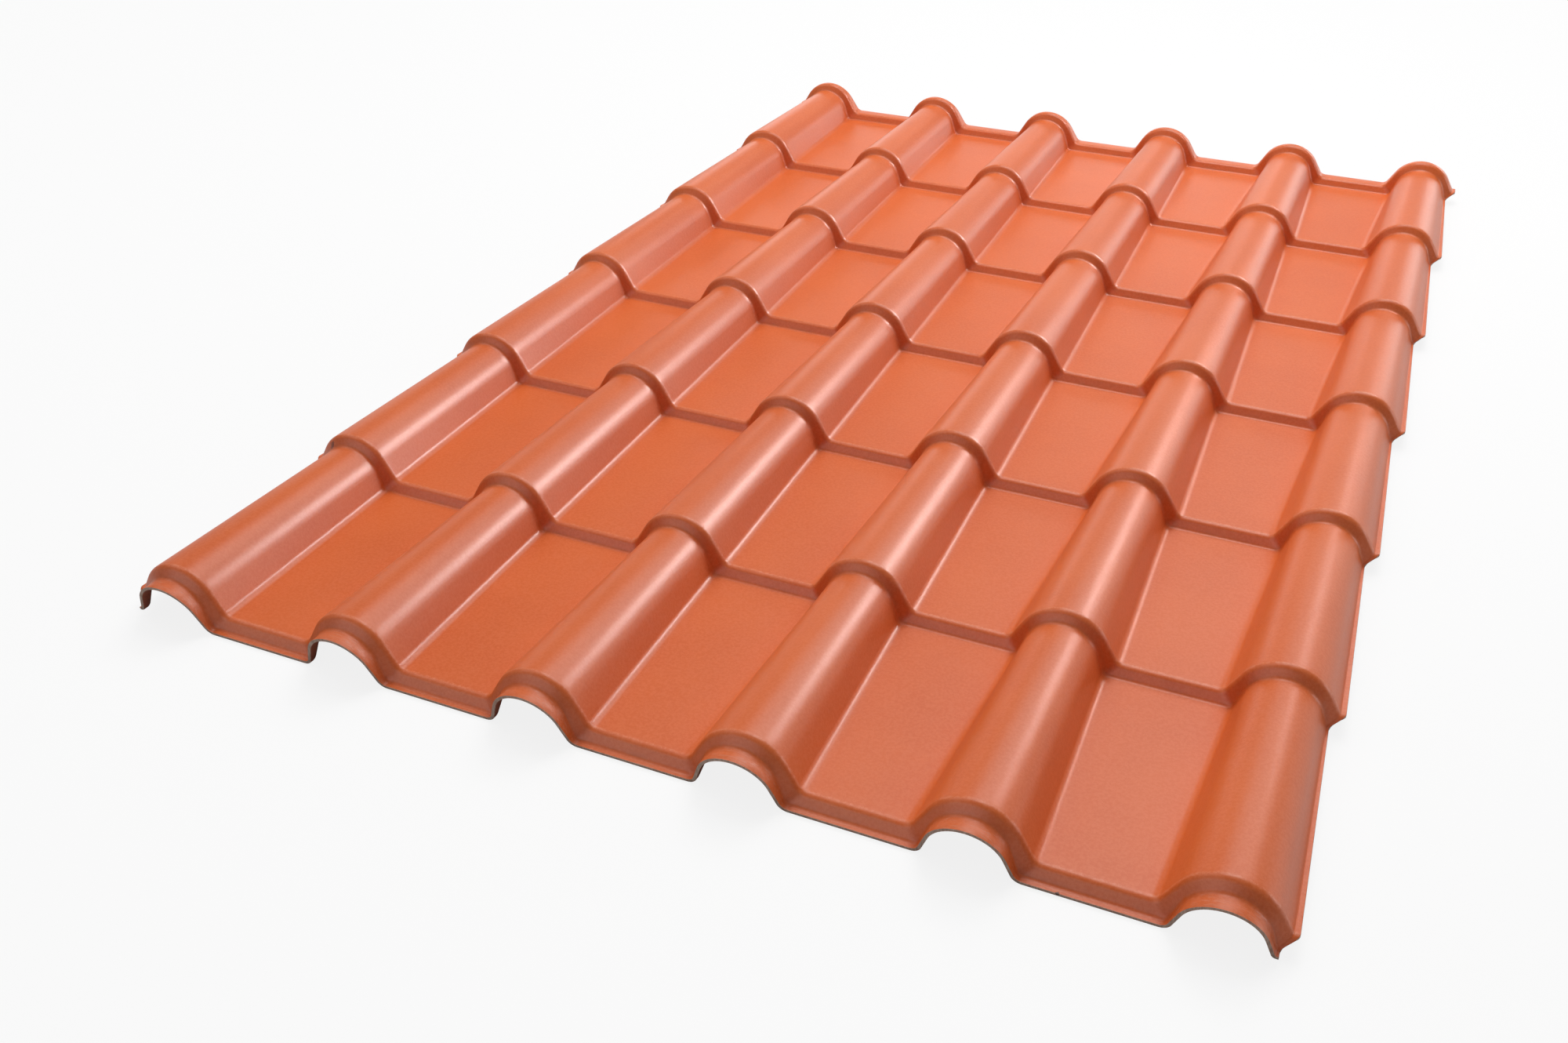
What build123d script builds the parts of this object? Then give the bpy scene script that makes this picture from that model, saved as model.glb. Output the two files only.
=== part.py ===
from build123d import *
import math
import os

# Moulded roofing sheet in the shape of tile rows: half-round rolls run along Y, flat pans lie between
# them, and each row of tiles starts with a raised nose and sinks to its tail, where the next nose rises.
# X runs across the rolls, +Y from the front edge to the back edge, Z up. The origin is the middle of the
# rectangle that the sheet covers, on the level floor that the sheet lies on.

# Layout of the tiles
roll_count = 6
roll_pitch = 160.0
row_count = 6
row_length = 219.0

# Wall, and the step between two rows
wall = 2.5
step_height = 8.5
step_run = 5.5

# Section at the nose of a row
roll_rise = 36.0
nose_arch_radius = 36.0
nose_flank_angle = 60.0
nose_toe_radius = 8.0

# Section at the tail of a row
tail_arch_radius = 28.5
tail_flank_angle = 70.0
tail_toe_radius = 6.0

# Lip along each side of the sheet, at the foot of the outer roll. It narrows from nose to tail.
nose_side_lip = 3.3
tail_side_lip = 1.3
side_lip_height = 4.5
side_toe_radius = 1.2

# Strips of pan before the first step and behind the last one. The ends are cut off at a slant, so that
# the crests of the rolls reach further to the front than the pans.
front_strip = 5.5
back_strip = 16.0
end_slant = 13.0

# How far the raw body reaches past the sheet, at its ends, beside it and below the floor
spare = 40.0

row_slope = step_height / (row_length - step_run)
lean = math.tan(math.radians(end_slant))
front_reach = (front_strip + roll_rise * lean) / (1 - row_slope * lean)
back_reach = (back_strip + wall * lean) / (1 - row_slope * lean)
sheet_length = front_reach + row_count * row_length + step_run + back_reach
first_foot = front_reach - sheet_length / 2
last_lip = first_foot + row_count * row_length + step_run
first_roll = -(roll_count - 1) / 2 * roll_pitch

# The underside turns this much later than the top, so that the wall keeps its thickness in a step.
wall_shift = wall * math.tan(math.atan2(step_height, step_run) / 2)


def blend(tail, nose, share):
    return tail + (nose - tail) * share


def half_roll(share, inset, toe, height):
    """The right half of a roll, from the end of its arch to a toe that ends at a height over the pan."""
    arch = blend(tail_arch_radius, nose_arch_radius, share)
    angle = math.radians(blend(tail_flank_angle, nose_flank_angle, share))
    flank = (roll_rise - height - (arch + toe) * (1 - math.cos(angle))) / math.sin(angle)
    half_width = (arch + toe) * math.sin(angle) + flank * math.cos(angle)
    level = wall + step_height * share + height - inset
    crest = level + roll_rise - height
    arch -= inset
    toe += inset
    toe_end = (half_width, level)
    toe_middle = (half_width - toe * math.sin(angle / 2), level + toe * (1 - math.cos(angle / 2)))
    toe_top = (half_width - toe * math.sin(angle), level + toe * (1 - math.cos(angle)))
    arch_end = (arch * math.sin(angle), crest - arch * (1 - math.cos(angle)))
    return [(0, crest), arch_end, toe_top, toe_middle, toe_end]


def roll_outline(index, share, inset):
    """One roll from toe to toe, in X and Z. The outer toes of the sheet end in the side lips."""
    toe = blend(tail_toe_radius, nose_toe_radius, share)
    inner = half_roll(share, inset, toe, 0)
    outer = half_roll(share, inset, side_toe_radius, side_lip_height)
    left = outer if index == 0 else inner
    right = outer if index == roll_count - 1 else inner
    middle = first_roll + index * roll_pitch
    return [(middle - x, z) for x, z in reversed(left)] + [(middle + x, z) for x, z in right[1:]]


def skin_section(y, share, inset, reach):
    """The area under the top (no inset) or under the underside, at one place along the sheet."""
    with BuildSketch(Plane.XZ.offset(-y)) as section:
        with BuildLine():
            rolls = [roll_outline(index, share, inset) for index in range(roll_count)]
            lip = blend(tail_side_lip, nose_side_lip, share) + reach
            near = (rolls[0][0][0] - lip, rolls[0][0][1])
            far = (rolls[-1][-1][0] + lip, rolls[-1][-1][1])
            Polyline(rolls[-1][-1], far, (far[0], -spare), (near[0], -spare), near, rolls[0][0])
            for p in rolls:
                ThreePointArc(p[0], p[1], p[2])
                Line(p[2], p[3])
                ThreePointArc(p[3], p[4], p[5])
                Line(p[5], p[6])
                ThreePointArc(p[6], p[7], p[8])
            for left, right in zip(rolls, rolls[1:]):
                Line(left[-1], right[0])
        make_face()
    return section.sketch


def stations(shift):
    """Places along the sheet where its skin turns, each with its share of the way from tail to nose."""
    spare_share = spare / (row_length - step_run)
    places = [(first_foot + shift - spare, spare_share)]
    for step in range(row_count + 1):
        foot = first_foot + step * row_length + shift
        places += [(foot, 0), (foot + step_run, 1)]
    return places + [(last_lip + shift + spare, 1 - spare_share)]


with BuildPart() as upper_body:
    loft([skin_section(y, share, 0, 0) for y, share in stations(0)], ruled=True)

with BuildPart() as lower_body:
    loft([skin_section(y, share, wall, spare) for y, share in stations(wall_shift)], ruled=True)

# The two end cuts are parallel planes. Each is set by the top of the pan at its end.
cut_direction = (0, 1, lean)
front_cut = Plane(origin=(0, first_foot - front_strip, wall), z_dir=cut_direction)
back_cut = Plane(origin=(0, last_lip + back_strip, wall + step_height), z_dir=cut_direction)

with BuildPart() as roofing_sheet:
    add(upper_body.part)
    add(lower_body.part, mode=Mode.SUBTRACT)
    split(bisect_by=front_cut, keep=Keep.TOP)
    split(bisect_by=back_cut, keep=Keep.BOTTOM)

os.makedirs("parts", exist_ok=True)
roofing_sheet.part.label = "roofing_sheet"
export_step(roofing_sheet.part, "parts/roofing_sheet.step")
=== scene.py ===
# %% [markdown]
# # A moulded resin roofing sheet
# This sheet copies a roof of clay roll tiles in one piece of resin: half-round rolls, flat pans between
# them, and a raised step wherever one row of tiles would lie over the next. The lesson draws its skin,
# gives it a wall, finishes it in satin terracotta and lights it as on a studio table.

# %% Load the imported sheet
import math

import bmesh
import bpy
from mathutils import Matrix, Vector


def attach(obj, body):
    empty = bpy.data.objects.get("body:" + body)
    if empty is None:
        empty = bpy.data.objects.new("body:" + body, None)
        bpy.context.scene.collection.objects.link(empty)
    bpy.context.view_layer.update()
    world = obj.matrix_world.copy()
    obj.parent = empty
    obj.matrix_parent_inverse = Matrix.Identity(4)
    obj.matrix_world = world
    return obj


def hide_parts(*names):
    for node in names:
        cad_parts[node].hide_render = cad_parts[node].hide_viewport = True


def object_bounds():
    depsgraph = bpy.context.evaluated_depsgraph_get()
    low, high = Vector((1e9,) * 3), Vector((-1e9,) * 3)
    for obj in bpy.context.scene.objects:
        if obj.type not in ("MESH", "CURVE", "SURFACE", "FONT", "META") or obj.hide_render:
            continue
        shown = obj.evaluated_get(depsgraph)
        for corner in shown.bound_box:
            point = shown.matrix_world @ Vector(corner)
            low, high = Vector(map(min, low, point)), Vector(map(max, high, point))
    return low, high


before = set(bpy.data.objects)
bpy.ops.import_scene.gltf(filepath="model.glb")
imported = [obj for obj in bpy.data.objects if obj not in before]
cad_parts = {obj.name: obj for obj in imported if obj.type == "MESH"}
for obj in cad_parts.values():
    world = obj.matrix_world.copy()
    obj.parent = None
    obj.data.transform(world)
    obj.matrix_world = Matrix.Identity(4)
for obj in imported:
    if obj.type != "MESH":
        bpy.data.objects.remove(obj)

packed_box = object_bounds()
print("packed sheet, lowest and highest corner:", packed_box)

# %% [markdown]
# ## Sizes
# Everything is in metres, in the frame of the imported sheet: X across the rolls, +Y from the front edge to
# the back edge, Z up. A tile row starts with a high nose in front and sinks to its tail at the back, where
# the next nose stands on it. The sheet has one section for the nose and one for the tail.

# %% Name the sizes
ROLLS, PITCH = 6, 0.160
ROWS, ROW_LENGTH = 6, 0.219
WALL = 0.0025
STEP_HEIGHT, STEP_RUN = 0.0085, 0.0055
ROLL_RISE = 0.036
SIDE_LIP_HEIGHT, SIDE_TOE = 0.0045, 0.0012
TAIL = {"arch": 0.0285, "angle": math.radians(70), "toe": 0.006, "lip": 0.0013, "pan": WALL}
NOSE = {"arch": 0.036, "angle": math.radians(60), "toe": 0.008, "lip": 0.0033, "pan": WALL + STEP_HEIGHT}
FRONT_STRIP, BACK_STRIP = 0.0055, 0.016
END_LEAN = math.tan(math.radians(13))

# %% Work out where the steps and the rolls stand
ROW_SLOPE = STEP_HEIGHT / (ROW_LENGTH - STEP_RUN)
# The front cut leans, so the crests reach further to the front than the strip of pan does.
FRONT_REACH = (FRONT_STRIP + ROLL_RISE * END_LEAN) / (1 - ROW_SLOPE * END_LEAN)
FIRST_FOOT = packed_box[0][1] + FRONT_REACH
LAST_LIP = FIRST_FOOT + ROWS * ROW_LENGTH + STEP_RUN
FIRST_ROLL = -(ROLLS - 1) / 2 * PITCH
print("first foot and last lip of the steps:", round(FIRST_FOOT, 4), round(LAST_LIP, 4))

# %% [markdown]
# ## Draw the section
# A section of the sheet is straight runs and round turns, so it is drawn like a line with a pen: a single
# point is extruded along the runs and spun round the centres of the turns. A curve object with a bevel
# could do this too, but then the nose and the tail could not be joined point to point.

# %% Start an empty mesh
START_SIZE = 0.01
bpy.ops.object.select_all(action="DESELECT")
bpy.ops.mesh.primitive_plane_add(size=START_SIZE)
sheet = bpy.context.object
sheet.name = sheet.data.name = "resin_sheet"
bpy.ops.object.mode_set(mode="EDIT")
bpy.ops.mesh.delete(type="VERT")
print("started", sheet.name, "with", len(bmesh.from_edit_mesh(sheet.data).verts), "points")


# %% A pen that extrudes and spins
class Pen:
    """Draws one section at a place y along the sheet, from left to right."""

    def __init__(self, x, y, z):
        """Starts as a small plane that is merged to one point, which stays selected."""
        self.x, self.y, self.z = x, y, z
        bpy.ops.mesh.select_all(action="DESELECT")
        bpy.ops.mesh.primitive_plane_add(size=START_SIZE, location=(x, y, z))
        bpy.ops.mesh.merge(type="CENTER")

    def run(self, x, z):
        move = (x - self.x, 0, z - self.z)
        bpy.ops.mesh.extrude_vertices_move(TRANSFORM_OT_translate={"value": move})
        self.x, self.z = x, z

    def turn(self, x, z, angle, steps):
        """Turns about the point x, z. A positive angle goes up and over, as on top of a roll."""
        bpy.ops.mesh.spin(steps=steps, angle=-angle, center=(x, self.y, z), axis=(0, 1, 0))
        dx, dz = self.x - x, self.z - z
        self.x = x + dx * math.cos(angle) + dz * math.sin(angle)
        self.z = z - dx * math.sin(angle) + dz * math.cos(angle)


# %% The section, roll by roll
TOE_STEPS, ARCH_STEPS = 7, 24
PAN_EDGE = 0.004  # a short run of pan beside each toe, which keeps the shading of the long run flat


def half_width(form, toe, height):
    """From the middle of a roll to the end of a toe that ends at a height over the pan."""
    rounds = form["arch"] + toe
    flank = (ROLL_RISE - height - rounds * (1 - math.cos(form["angle"]))) / math.sin(form["angle"])
    return rounds * math.sin(form["angle"]) + flank * math.cos(form["angle"])


def draw_section(form, y):
    """Draws a form at y. Toes end in the pans, but the outer two end higher, in the side lips."""
    arch, angle, pan = form["arch"], form["angle"], form["pan"]
    sin, fall = math.sin(angle), 1 - math.cos(angle)
    crest = pan + ROLL_RISE
    at_pan = half_width(form, form["toe"], 0), form["toe"], pan
    at_side = half_width(form, SIDE_TOE, SIDE_LIP_HEIGHT), SIDE_TOE, pan + SIDE_LIP_HEIGHT
    pen = Pen(FIRST_ROLL - at_side[0] - form["lip"], y, at_side[2])
    for roll in range(ROLLS):
        middle = FIRST_ROLL + roll * PITCH
        reach, toe, low = at_side if roll == 0 else at_pan
        pen.run(middle - reach, low)
        pen.turn(middle - reach, low + toe, -angle, TOE_STEPS)
        pen.run(middle - arch * sin, crest - arch * fall)
        pen.turn(middle, crest - arch, 2 * angle, ARCH_STEPS)
        reach, toe, low = at_side if roll == ROLLS - 1 else at_pan
        pen.run(middle + reach - toe * sin, low + toe * fall)
        pen.turn(middle + reach, low + toe, -angle, TOE_STEPS)
        if roll < ROLLS - 1:
            pen.run(middle + reach + PAN_EDGE, low)
            pen.run(middle + PITCH - reach - PAN_EDGE, low)
        else:
            pen.run(middle + reach + form["lip"], low)


draw_section(TAIL, 0)
draw_section(NOSE, STEP_RUN)
draw_section(TAIL, ROW_LENGTH)
drawn = bmesh.from_edit_mesh(sheet.data)
print("points drawn:", len(drawn.verts), "out to", round(max(v.co.x for v in drawn.verts), 4))

# %% [markdown]
# ## One row of tiles
# The foot of a step, its lip and the next foot are joined by bridging: foot to lip is the riser, lip to the
# next foot is the row of tiles, which sinks and narrows a little on its way. All three lines have the same
# number of points, so a bridge joins them without a twist. Extruding the first line would keep its form,
# and the rolls could not narrow. Two cuts, one near each end of the row, hold the shading flat on the pans
# when the lip and the foot are rounded.

# %% Bridge the lines to a row
SAME_PLACE = 1e-5
HOLD = 0.007


def pick_lines(places):
    """Selects the lines of the mesh that lie across the sheet at these places along Y."""
    bpy.ops.mesh.select_mode(type="EDGE")
    bpy.ops.mesh.select_all(action="DESELECT")
    mesh = bmesh.from_edit_mesh(sheet.data)
    for edge in mesh.edges:
        ends = [v.co.y for v in edge.verts]
        edge.select = any(max(abs(y - place) for y in ends) < SAME_PLACE for place in places)
    mesh.select_flush_mode()
    bmesh.update_edit_mesh(sheet.data)
    return sum(edge.select for edge in mesh.edges)


for pair in ((0, STEP_RUN), (STEP_RUN, ROW_LENGTH)):
    picked = pick_lines(pair)
    bpy.ops.mesh.bridge_edge_loops()
    print("bridged", picked, "edges at", pair)
for place in (STEP_RUN + HOLD, ROW_LENGTH - HOLD):
    bpy.ops.mesh.select_all(action="SELECT")
    bpy.ops.mesh.bisect(plane_co=(0, place, 0), plane_no=(0, 1, 0))
bpy.ops.object.mode_set(mode="OBJECT")
print("one row:", len(sheet.data.polygons), "faces")

# %% [markdown]
# ## All rows
# The row repeats along the sheet. It could be drawn and bridged again for each, but an Array modifier
# copies it exactly and joins the copies. One more row stands at each end, since the ends are cut off later.

# %% Repeat the row
repeat = sheet.modifiers.new("rows", "ARRAY")
repeat.count = ROWS + 2
repeat.use_relative_offset = False
repeat.use_constant_offset = True
repeat.constant_offset_displace = (0, ROW_LENGTH, 0)
repeat.use_merge_vertices = True
repeat.merge_threshold = SAME_PLACE
bpy.ops.object.modifier_apply(modifier=repeat.name)
bpy.ops.object.mode_set(mode="EDIT")
bpy.ops.mesh.select_all(action="SELECT")
bpy.ops.transform.translate(value=(0, FIRST_FOOT - ROW_LENGTH, 0))
print("all rows:", len(sheet.data.polygons), "faces")

# %% [markdown]
# ## Soft steps
# Resin is pressed over the mould, so no step is sharp. Its lip rolls over in a wide round, and its foot
# runs out into the pan in a tighter one. Two bevels with a few segments give that S. A subdivision surface
# would soften the rolls as well, and their size would be lost.

# %% Round the lips and the feet
LIP_ROUND, LIP_SEGMENTS = 0.0034, 6
FOOT_ROUND, FOOT_SEGMENTS = 0.0024, 4
feet = [FIRST_FOOT + row * ROW_LENGTH for row in range(ROWS + 1)]
for shift, reach, segments in ((STEP_RUN, LIP_ROUND, LIP_SEGMENTS), (0, FOOT_ROUND, FOOT_SEGMENTS)):
    picked = pick_lines([y + shift for y in feet])
    bpy.ops.mesh.bevel(offset=reach, segments=segments, profile=0.5, affect="EDGES", clamp_overlap=False)
    print("rounded", picked, "edges by", reach)

# %% [markdown]
# ## The wall
# The skin becomes a sheet 2.5 mm thick by Solidify, downwards from the weathered side. A second skin drawn
# below would need its own rounds in every turn, and Solidify keeps one thickness in all of them. It also
# gives the underside and the two side edges a place of their own in the list of materials.

# %% Thicken the skin
SKIN, CORE, UNDER = range(3)  # the places of the three finishes in the sheet's list of materials
bpy.ops.mesh.select_all(action="SELECT")
bpy.ops.mesh.normals_make_consistent(inside=False)
skin = bmesh.from_edit_mesh(sheet.data)
skin.normal_update()
if sum(face.normal.z * face.calc_area() for face in skin.faces) < 0:
    bpy.ops.mesh.flip_normals()
bpy.ops.object.mode_set(mode="OBJECT")
for name in ("weathered_side", "sawn_rim", "underside"):
    sheet.data.materials.append(bpy.data.materials.new(name))
wall = sheet.modifiers.new("wall", "SOLIDIFY")
wall.thickness = WALL
wall.offset = -1
wall.use_even_offset = True
wall.material_offset = UNDER
wall.material_offset_rim = CORE
bpy.ops.object.modifier_apply(modifier=wall.name)
print("thick sheet:", len(sheet.data.polygons), "faces")

# %% [markdown]
# ## The ends
# The sheet is sawn to length at a slant, so the crests of the rolls reach further forward than the pans.
# A block taken away by a Boolean would cut it too, but a plane is all that a saw cut needs: a bisect clears
# what lies outside the cut and closes it with one flat face, which shows the core of the resin. A tiny
# bevel then takes the edge off every rim, as the saw and handling do.

# %% Saw off both ends
bpy.ops.object.mode_set(mode="EDIT")
sheet.active_material_index = CORE
front_cut = (0, FIRST_FOOT - FRONT_STRIP, WALL)
back_cut = (0, LAST_LIP + BACK_STRIP, WALL + STEP_HEIGHT)
for cut in (front_cut, back_cut):
    outside = {"clear_inner": cut == front_cut, "clear_outer": cut == back_cut}
    bpy.ops.mesh.select_all(action="SELECT")
    bpy.ops.mesh.bisect(plane_co=cut, plane_no=(0, 1, END_LEAN), use_fill=True, **outside)
    bpy.ops.object.material_slot_assign()
    print("sawn face:", sum(face.select for face in bmesh.from_edit_mesh(sheet.data).faces))
bpy.ops.object.mode_set(mode="OBJECT")

# %% Ease the rims and shade the rounds
RIM_WIDTH, RIM_ANGLE = 0.00022, math.radians(60)
SMOOTH_ANGLE = math.radians(38)
rim = sheet.modifiers.new("rim", "BEVEL")
rim.width = RIM_WIDTH
rim.segments = 2
rim.limit_method = "ANGLE"
rim.angle_limit = RIM_ANGLE
rim.material = CORE
bpy.ops.object.modifier_apply(modifier=rim.name)
bpy.ops.object.shade_smooth_by_angle(angle=SMOOTH_ANGLE)
sheet.data.update()
print("finished sheet:", len(sheet.data.polygons), "faces, size", [round(v, 4) for v in sheet.dimensions])

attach(sheet, "root")
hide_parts("roofing_sheet")

# %% [markdown]
# ## Shader maths
# Masks and mixes read best as sums, so one small class wraps a socket and turns + - * / into Math nodes.
# A second class adds every other node by one call: its type, its settings, then its sockets.


# %% Sockets that can be added and multiplied
class Amount:
    """What varies over the surface, a number, a colour or a place: the output socket of a node."""

    def __init__(self, finish, socket):
        self.finish, self.socket = finish, socket

    def maths(self, operation, *values):
        return self.finish.node("ShaderNodeMath", {"operation": operation}, dict(enumerate(values)))

    def __add__(self, other):
        return self.maths("ADD", self, other)

    __radd__ = __add__

    def __mul__(self, other):
        return self.maths("MULTIPLY", self, other)

    __rmul__ = __mul__

    def __sub__(self, other):
        return self.maths("SUBTRACT", self, other)

    def __rsub__(self, other):
        return self.maths("SUBTRACT", other, self)

    def __truediv__(self, other):
        return self.maths("DIVIDE", self, other)

    def __rtruediv__(self, other):
        return self.maths("DIVIDE", other, self)

    def __abs__(self):
        return self.maths("ABSOLUTE", self)

    def fraction(self):
        """What is left of a number without its whole part."""
        return self.maths("FRACT", self)

    def fade(self, low, high):
        """0 below low, 1 above high, soft between them."""
        settings = {"interpolation_type": "SMOOTHSTEP"}
        sockets = {"Value": self, "From Min": low, "From Max": high}
        return self.finish.node("ShaderNodeMapRange", settings, sockets)


# %% A finish and the nodes that are laid in it
class Finish:
    """The nodes of one material, or of the world."""

    def __init__(self, owner):
        owner.use_nodes = True
        self.tree = owner.node_tree
        self.tree.nodes.clear()

    def node(self, kind, settings=None, sockets=None, output=0):
        node = self.tree.nodes.new(kind)
        for name, value in (settings or {}).items():
            setattr(node, name, value)
        for name, value in (sockets or {}).items():
            if isinstance(value, Amount):
                self.tree.links.new(value.socket, node.inputs[name])
            else:
                node.inputs[name].default_value = value
        return Amount(self, node.outputs[output]) if node.outputs else None

    def mix(self, factor, first, second):
        """Colours go through a Mix node, whose colour sockets are numbers 6, 7 and output 2."""
        sockets = {0: factor, 6: first, 7: second}
        return self.node("ShaderNodeMix", {"data_type": "RGBA"}, sockets, output=2)

    def noise(self, place, scale, detail=3.0, rough=0.6):
        sockets = {"Vector": place, "Scale": scale, "Detail": detail, "Roughness": rough}
        return self.node("ShaderNodeTexNoise", {}, sockets)

    def stretched_noise(self, place, scales, rough=0.6):
        """Noise with a scale of its own along each axis, for streaks."""
        stretched = self.node("ShaderNodeMapping", {}, {"Vector": place, "Scale": scales})
        return self.noise(stretched, 1.0, rough=rough)

    def spot(self, place, middle, size, ragged):
        """A small mark: 1 in its middle and 0 beyond its size, with an edge that a noise makes ragged."""
        away = self.node("ShaderNodeVectorMath", {"operation": "SUBTRACT"}, {0: place, 1: middle})
        away = self.node("ShaderNodeVectorMath", {"operation": "DIVIDE"}, {0: away, 1: size})
        far = self.node("ShaderNodeVectorMath", {"operation": "LENGTH"}, {0: away}, output="Value")
        return (1.5 - far - ragged).fade(0.0, 0.4)  # the noise is about 0.5, so at its size this is 0

    def surface(self, tone, dull, height, strength, depth, **more):
        """Joins the tone, the dullness and a relief of some depth in metres, and shows them."""
        relief_sockets = {"Strength": strength, "Distance": depth, "Height": height}
        relief = self.node("ShaderNodeBump", {}, relief_sockets)
        sockets = {"Base Color": tone, "Roughness": dull, "Normal": relief, **more}
        shader = self.node("ShaderNodeBsdfPrincipled", {}, sockets)
        self.node("ShaderNodeOutputMaterial", {}, {"Surface": shader})


def colour(red, green, blue):
    """A colour as a screen shows it, 0 to 255, for a socket, which works with light itself."""
    return tuple(((c / 255 + 0.055) / 1.055) ** 2.4 for c in (red, green, blue)) + (1.0,)


TERRACOTTA, WARM_TERRACOTTA = colour(208, 92, 31), colour(215, 99, 37)
print("terracotta as light:", [round(c, 3) for c in TERRACOTTA])

# %% [markdown]
# ## Satin terracotta
# The weathered side has a coloured skin over the resin. It is satin, with a grain as fine as orange peel,
# a tone that drifts a little from tile to tile, a pale line along the lips of the steps that is rubbed wear
# and a painted highlight, and a darker streaked band at their feet that is dust and painted shade. The
# strip before the first step is scratched by the saw and by handling, a dark scuff sits on the first roll's
# second step, and the front edge has a nick. A photographed texture could show all this from one side only.
# Noise on Object coordinates has no seams and fits every side.

# %% Lay the tone and the grain of the weathered side
SPECKLE_TONE, SPECKLE_SHARE = colour(230, 126, 80), 0.26
top = Finish(sheet.data.materials[SKIN])
place = top.node("ShaderNodeTexCoord", output="Object")
patches = top.noise(place, scale=7.0, detail=4.0)
grain = top.noise(place, scale=1100.0, detail=2.0)
speckle = top.noise(place, scale=420.0, rough=0.7)
tone = top.mix(patches.fade(0.3, 0.7), TERRACOTTA, WARM_TERRACOTTA)
tone = top.mix(speckle.fade(0.36, 0.64) * SPECKLE_SHARE, tone, SPECKLE_TONE)
print("tone and grain:", len(top.tree.nodes), "nodes")

# %% Measure from the foot of each step
along = top.node("ShaderNodeSeparateXYZ", {}, {"Vector": place}, output="Y")
row_share = ((along - (FIRST_FOOT - ROW_LENGTH)) / ROW_LENGTH).fraction()
from_foot = row_share * ROW_LENGTH
print("with the measure:", len(top.tree.nodes), "nodes")

# %% Paint rub and highlight on the lips, and dust and shade at the feet of the steps
# a pale line on the round of each lip: rubbed wear, and a painted highlight where the lip turns over
RUB_AND_HIGHLIGHT_TONE, RUB_AND_HIGHLIGHT_SHARE = colour(232, 158, 126), 0.22
RUB_AND_HIGHLIGHT_MIDDLE, RUB_AND_HIGHLIGHT_REACH, RUB_AND_HIGHLIGHT_SHARPNESS = 0.0085, 0.0017, 700.0
lip_rub_and_highlight = ((RUB_AND_HIGHLIGHT_REACH - abs(from_foot - RUB_AND_HIGHLIGHT_MIDDLE)) * RUB_AND_HIGHLIGHT_SHARPNESS).fade(0.0, 1.0)
lip_rub_and_highlight = lip_rub_and_highlight * (0.3 + speckle.fade(0.4, 0.65)) * RUB_AND_HIGHLIGHT_SHARE
tone = top.mix(lip_rub_and_highlight, tone, RUB_AND_HIGHLIGHT_TONE)

# a darker streaked band at the foot of each step: dust, and painted shade in the crease there
DUST_AND_SHADE_TONE, DUST_AND_SHADE_SHARE, DUST_AND_SHADE_REACH = colour(150, 96, 74), 0.25, 0.0035
streaks = top.stretched_noise(place, scales=(60.0, 5.0, 60.0))
foot_dust_and_shade = (1.0 - from_foot.fade(0.0, DUST_AND_SHADE_REACH)) * streaks.fade(0.35, 0.7) * DUST_AND_SHADE_SHARE
tone = top.mix(foot_dust_and_shade, tone, DUST_AND_SHADE_TONE)
print("with rub and dust:", len(top.tree.nodes), "nodes")

# %% Scratch the front strip, and add the scuff and the nick
SCRATCH_TONE, SCRATCH_SHARE = colour(214, 148, 124), 0.45
front_strip = 1.0 - (along - FIRST_FOOT).fade(-0.0025, -0.0005)
scratches = top.stretched_noise(place, scales=(45.0, 900.0, 300.0), rough=0.75)
tone = top.mix(front_strip * scratches.fade(0.52, 0.68) * SCRATCH_SHARE, tone, SCRATCH_TONE)

SCUFF_TONE, SCUFF_SHARE, NICK_TONE = colour(92, 48, 38), 0.7, colour(84, 52, 42)
SCUFF = (-0.419, -0.4394, 0.0348), (0.0026, 0.0030, 0.0046)  # the middle of a mark and its size
NICK = (0.300, -0.6665, 0.0024), (0.0016, 0.0016, 0.0016)
tone = top.mix(top.spot(place, *SCUFF, speckle) * SCUFF_SHARE, tone, SCUFF_TONE)
tone = top.mix(top.spot(place, *NICK, speckle), tone, NICK_TONE)
print("with scratches and marks:", len(top.tree.nodes), "nodes")

# %% Join colour, dullness and relief
SATIN = 0.36
dull = SATIN + patches * 0.01 + grain * 0.04 + front_strip * scratches * 0.1
top.surface(tone, dull, grain + speckle * 0.9, strength=0.6, depth=0.00012, IOR=1.49)
print("weathered side:", len(top.tree.nodes), "nodes")

# %% [markdown]
# ## Sawn rim and underside
# The saw shows the grey core of the resin, with fine tooth marks and a little swarf. The underside never
# sees the sun and has no satin skin: it is the same terracotta, duller and browner. One finish for all
# sides would be less work, but then the sheet would look as if it were dipped in paint.

# %% Lay the finish of the sawn rim
DARK_CORE, PALE_CORE, SWARF_TONE = colour(150, 122, 106), colour(182, 154, 138), colour(150, 92, 70)
core = Finish(sheet.data.materials[CORE])
place = core.node("ShaderNodeTexCoord", output="Object")
teeth = core.stretched_noise(place, scales=(900.0, 200.0, 120.0))
swarf = core.noise(place, scale=90.0)
tone = core.mix(teeth.fade(0.3, 0.7), DARK_CORE, PALE_CORE)
tone = core.mix(swarf.fade(0.5, 0.75) * 0.5, tone, SWARF_TONE)
tone = core.mix(core.spot(place, *NICK, swarf), tone, NICK_TONE)
core.surface(tone, 0.7 + swarf * 0.15, teeth, strength=0.5, depth=0.0002)
print("sawn rim:", len(core.tree.nodes), "nodes")

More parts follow.
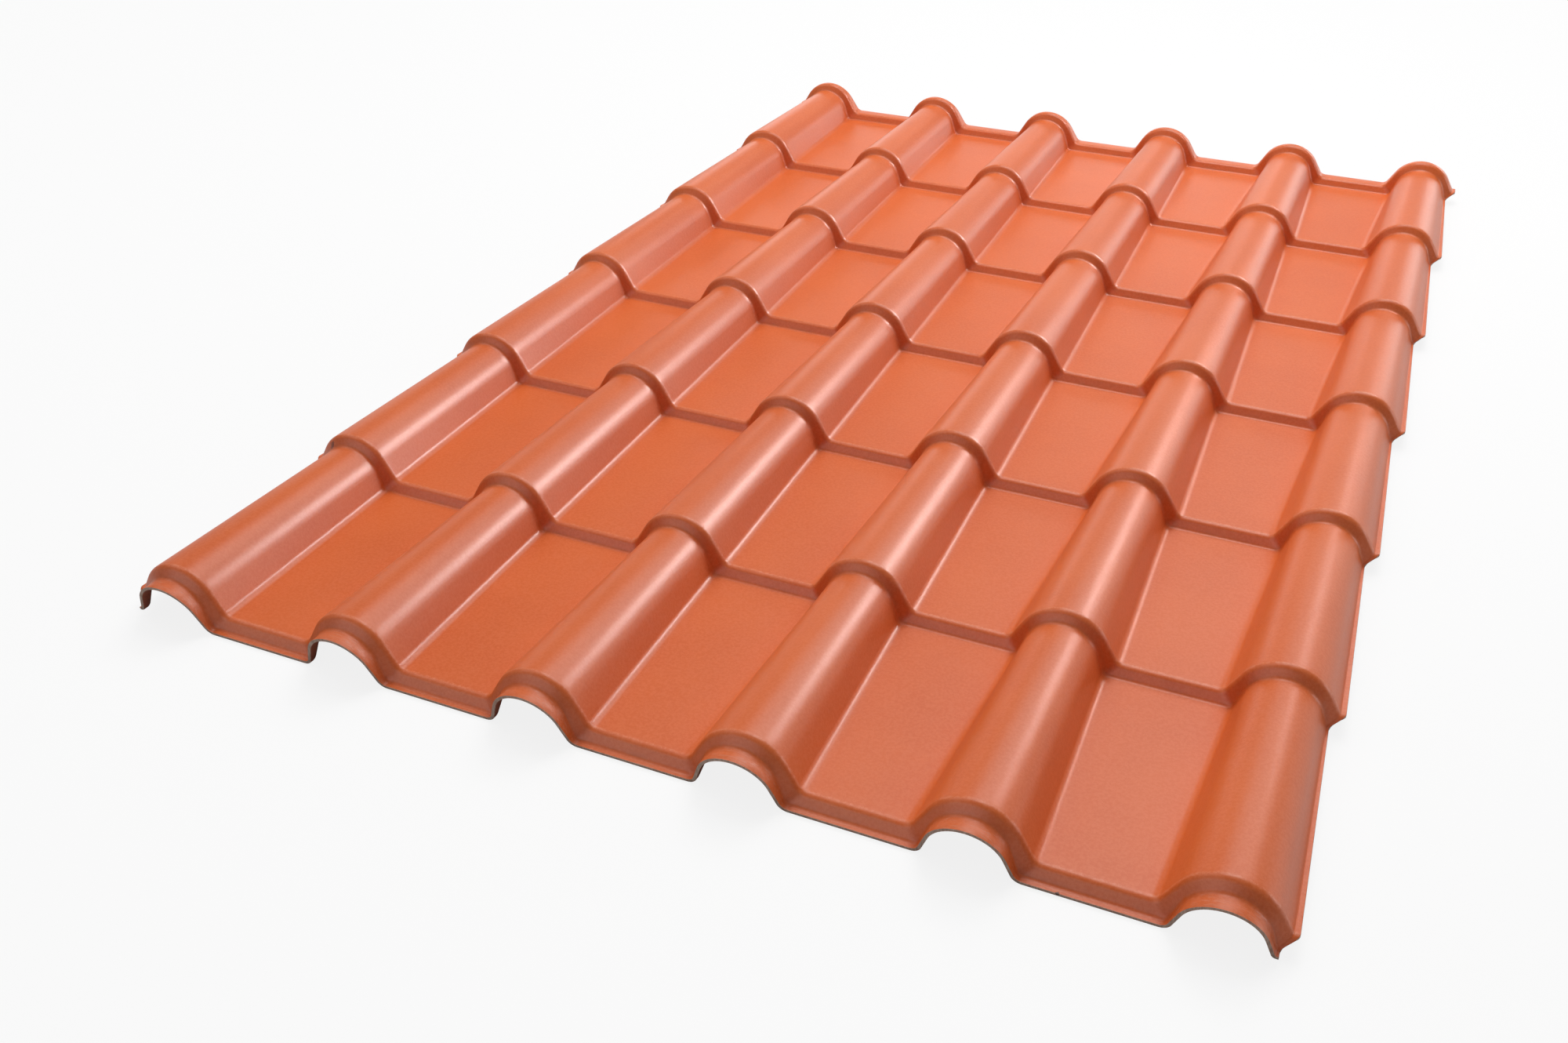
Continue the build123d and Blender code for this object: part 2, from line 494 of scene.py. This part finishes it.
# %% Lay the finish of the underside
BROWN, PALE_BROWN, PORE_TONE = colour(158, 82, 56), colour(172, 92, 64), colour(128, 70, 52)
under = Finish(sheet.data.materials[UNDER])
place = under.node("ShaderNodeTexCoord", output="Object")
patches = under.noise(place, scale=9.0, detail=4.0)
grain = under.noise(place, scale=700.0)
tone = under.mix(patches.fade(0.3, 0.7), BROWN, PALE_BROWN)
tone = under.mix(grain.fade(0.5, 0.8) * 0.3, tone, PORE_TONE)
under.surface(tone, 0.58 + patches * 0.1, grain, strength=0.4, depth=0.0002)
print("underside:", len(under.tree.nodes), "nodes")

# %% [markdown]
# ## Floor and light
# The sheet lies on a plain white floor. To the camera alone the floor and the world look white, as a studio
# sweep does, and the floor keeps its shadow. One lamp could not light a shiny waved sheet well: where it
# stands sets both how bright the pans are and where the pale bands on the rolls lie. So some lamps give
# only body, the light that a colour scatters, and some give only shine, the light that a skin mirrors.
# Large lamps above, behind and to the left give the body and leave the steps dark, and a small one lifts
# the tone near the middle. A small box close to the sheet draws the pale bands, which move from the right
# flank towards the crest from roll to roll. Low walls of light behind, beside and before the sheet lay a
# faint haze on the pans and a line along each toe.

# %% Lay the floor
FLOOR_SIZE, FLOOR_GLOW = 30, 0.85
PAPER, WHITE = (0.80, 0.80, 0.80, 1), (1, 1, 1, 1)
bpy.ops.object.select_all(action="DESELECT")
bpy.ops.mesh.primitive_plane_add(size=FLOOR_SIZE)
floor = bpy.context.object
floor.name = "floor"
floor.data.materials.append(bpy.data.materials.new("white_floor"))
ground = Finish(floor.data.materials[0])
seen = ground.node("ShaderNodeLightPath", output="Is Camera Ray")
paper = ground.node("ShaderNodeBsdfDiffuse", {}, {"Color": PAPER})
glow = ground.node("ShaderNodeEmission", {}, {"Color": WHITE, "Strength": 1.0})
surface = ground.node("ShaderNodeMixShader", {}, {0: seen * FLOOR_GLOW, 1: paper, 2: glow})
ground.node("ShaderNodeOutputMaterial", {}, {"Surface": surface})
print("floor:", [round(v) for v in floor.dimensions], "metres")

# %% Make the world dim for the sheet and white for the camera
WORLD_LIGHT = 0.25
world = bpy.data.worlds.new("studio")
bpy.context.scene.world = world
sky = Finish(world)
seen = sky.node("ShaderNodeLightPath", output="Is Camera Ray")
dim = sky.node("ShaderNodeBackground", {}, {"Color": WHITE, "Strength": WORLD_LIGHT})
white = sky.node("ShaderNodeBackground", {}, {"Color": WHITE, "Strength": 1.0})
surface = sky.node("ShaderNodeMixShader", {}, {0: seen, 1: dim, 2: white})
sky.node("ShaderNodeOutputWorld", {}, {"Surface": surface})
print("world:", world.name, "with", len(sky.tree.nodes), "nodes")


# %% Hang the lamps
def soft_lamp(name, place, width, height, power, target=(0, 0, 0), spread=180, gives="both"):
    """Adds a lamp of some watts that faces its target and gives body, shine or both."""
    lamp = bpy.data.objects.new(name, bpy.data.lights.new(name, "AREA"))
    bpy.context.scene.collection.objects.link(lamp)
    lamp.data.shape = "RECTANGLE"
    lamp.data.size, lamp.data.size_y, lamp.data.energy = width, height, power
    lamp.data.spread = math.radians(spread)
    lamp.location = place
    lamp.rotation_euler = (Vector(target) - Vector(place)).to_track_quat("-Z", "Y").to_euler()
    lamp.visible_camera = False
    lamp.visible_diffuse = gives != "shine"
    lamp.visible_glossy = gives != "body"


soft_lamp("soft_top", (0, 1.50, 3.90), 2.4, 2.4, 82)
soft_lamp("back_left", (-0.92, 3.45, 3.21), 2.4, 1.8, 38, gives="body")
soft_lamp("back_right", (1.00, 3.50, 3.00), 3.0, 1.2, 19)
soft_lamp("key_left", (-3.40, 0.30, 4.10), 2.4, 2.4, 36)
soft_lamp("near_glow", (0.15, 0.72, 1.30), 0.60, 0.60, 5.5, target=(0.1, 0.2, 0), gives="body")
soft_lamp("near_box", (0.64, 0.80, 0.79), 0.40, 0.26, 5.5, (-0.95, -0.40, 0), spread=80, gives="shine")
soft_lamp("low_wall", (1.60, 4.35, 0.56), 1.3, 0.9, 10.5, gives="shine")
soft_lamp("wide_wall", (2.30, 4.00, 0.75), 3.2, 0.9, 11.5, gives="shine")
soft_lamp("side_wall", (4.40, 1.60, 0.90), 2.0, 1.4, 42, gives="shine")
soft_lamp("back_wall", (0.00, 4.60, 0.60), 1.6, 0.8, 4, gives="shine")
soft_lamp("left_wall", (-1.50, 4.40, 0.80), 2.4, 0.9, 9.5, gives="shine")
soft_lamp("left_strip", (-2.40, 4.05, 0.60), 0.8, 1.2, 4, gives="shine")
soft_lamp("far_left_wall", (-3.60, 2.90, 0.90), 1.4, 1.4, 5, gives="shine")
soft_lamp("front_fill", (-0.90, -2.60, 1.30), 3.0, 2.0, 27, gives="shine")

# %% [markdown]
# ## Camera
# The camera stands before the right front corner and looks down along the rows. It could be turned by eye,
# but a fit is closer: its place, its turn and its lens come from fitting the sheet's own lines to the
# picture, with the picture's middle as the lens's middle.

# %% Place the camera
SENSOR_WIDTH, FOCAL_LENGTH = 36, 35.38  # in millimetres
CAMERA_PLACE = (0.41849, -1.35335, 0.71654)
CAMERA_RIGHT, CAMERA_UP = Vector((0.91493, 0.40362, -0.00085)), Vector((-0.21905, 0.49832, 0.83887))
lens = bpy.data.cameras.new("camera")
lens.sensor_width = SENSOR_WIDTH
lens.lens = FOCAL_LENGTH
camera = bpy.data.objects.new("camera", lens)
bpy.context.scene.collection.objects.link(camera)
camera_axes = (CAMERA_RIGHT, CAMERA_UP, CAMERA_RIGHT.cross(CAMERA_UP))
camera.matrix_world = Matrix.Translation(CAMERA_PLACE) @ Matrix(camera_axes).transposed().to_4x4()
bpy.context.scene.camera = camera
bpy.context.scene.view_settings.view_transform = "Standard"
print("camera at", [round(v, 3) for v in camera.location])
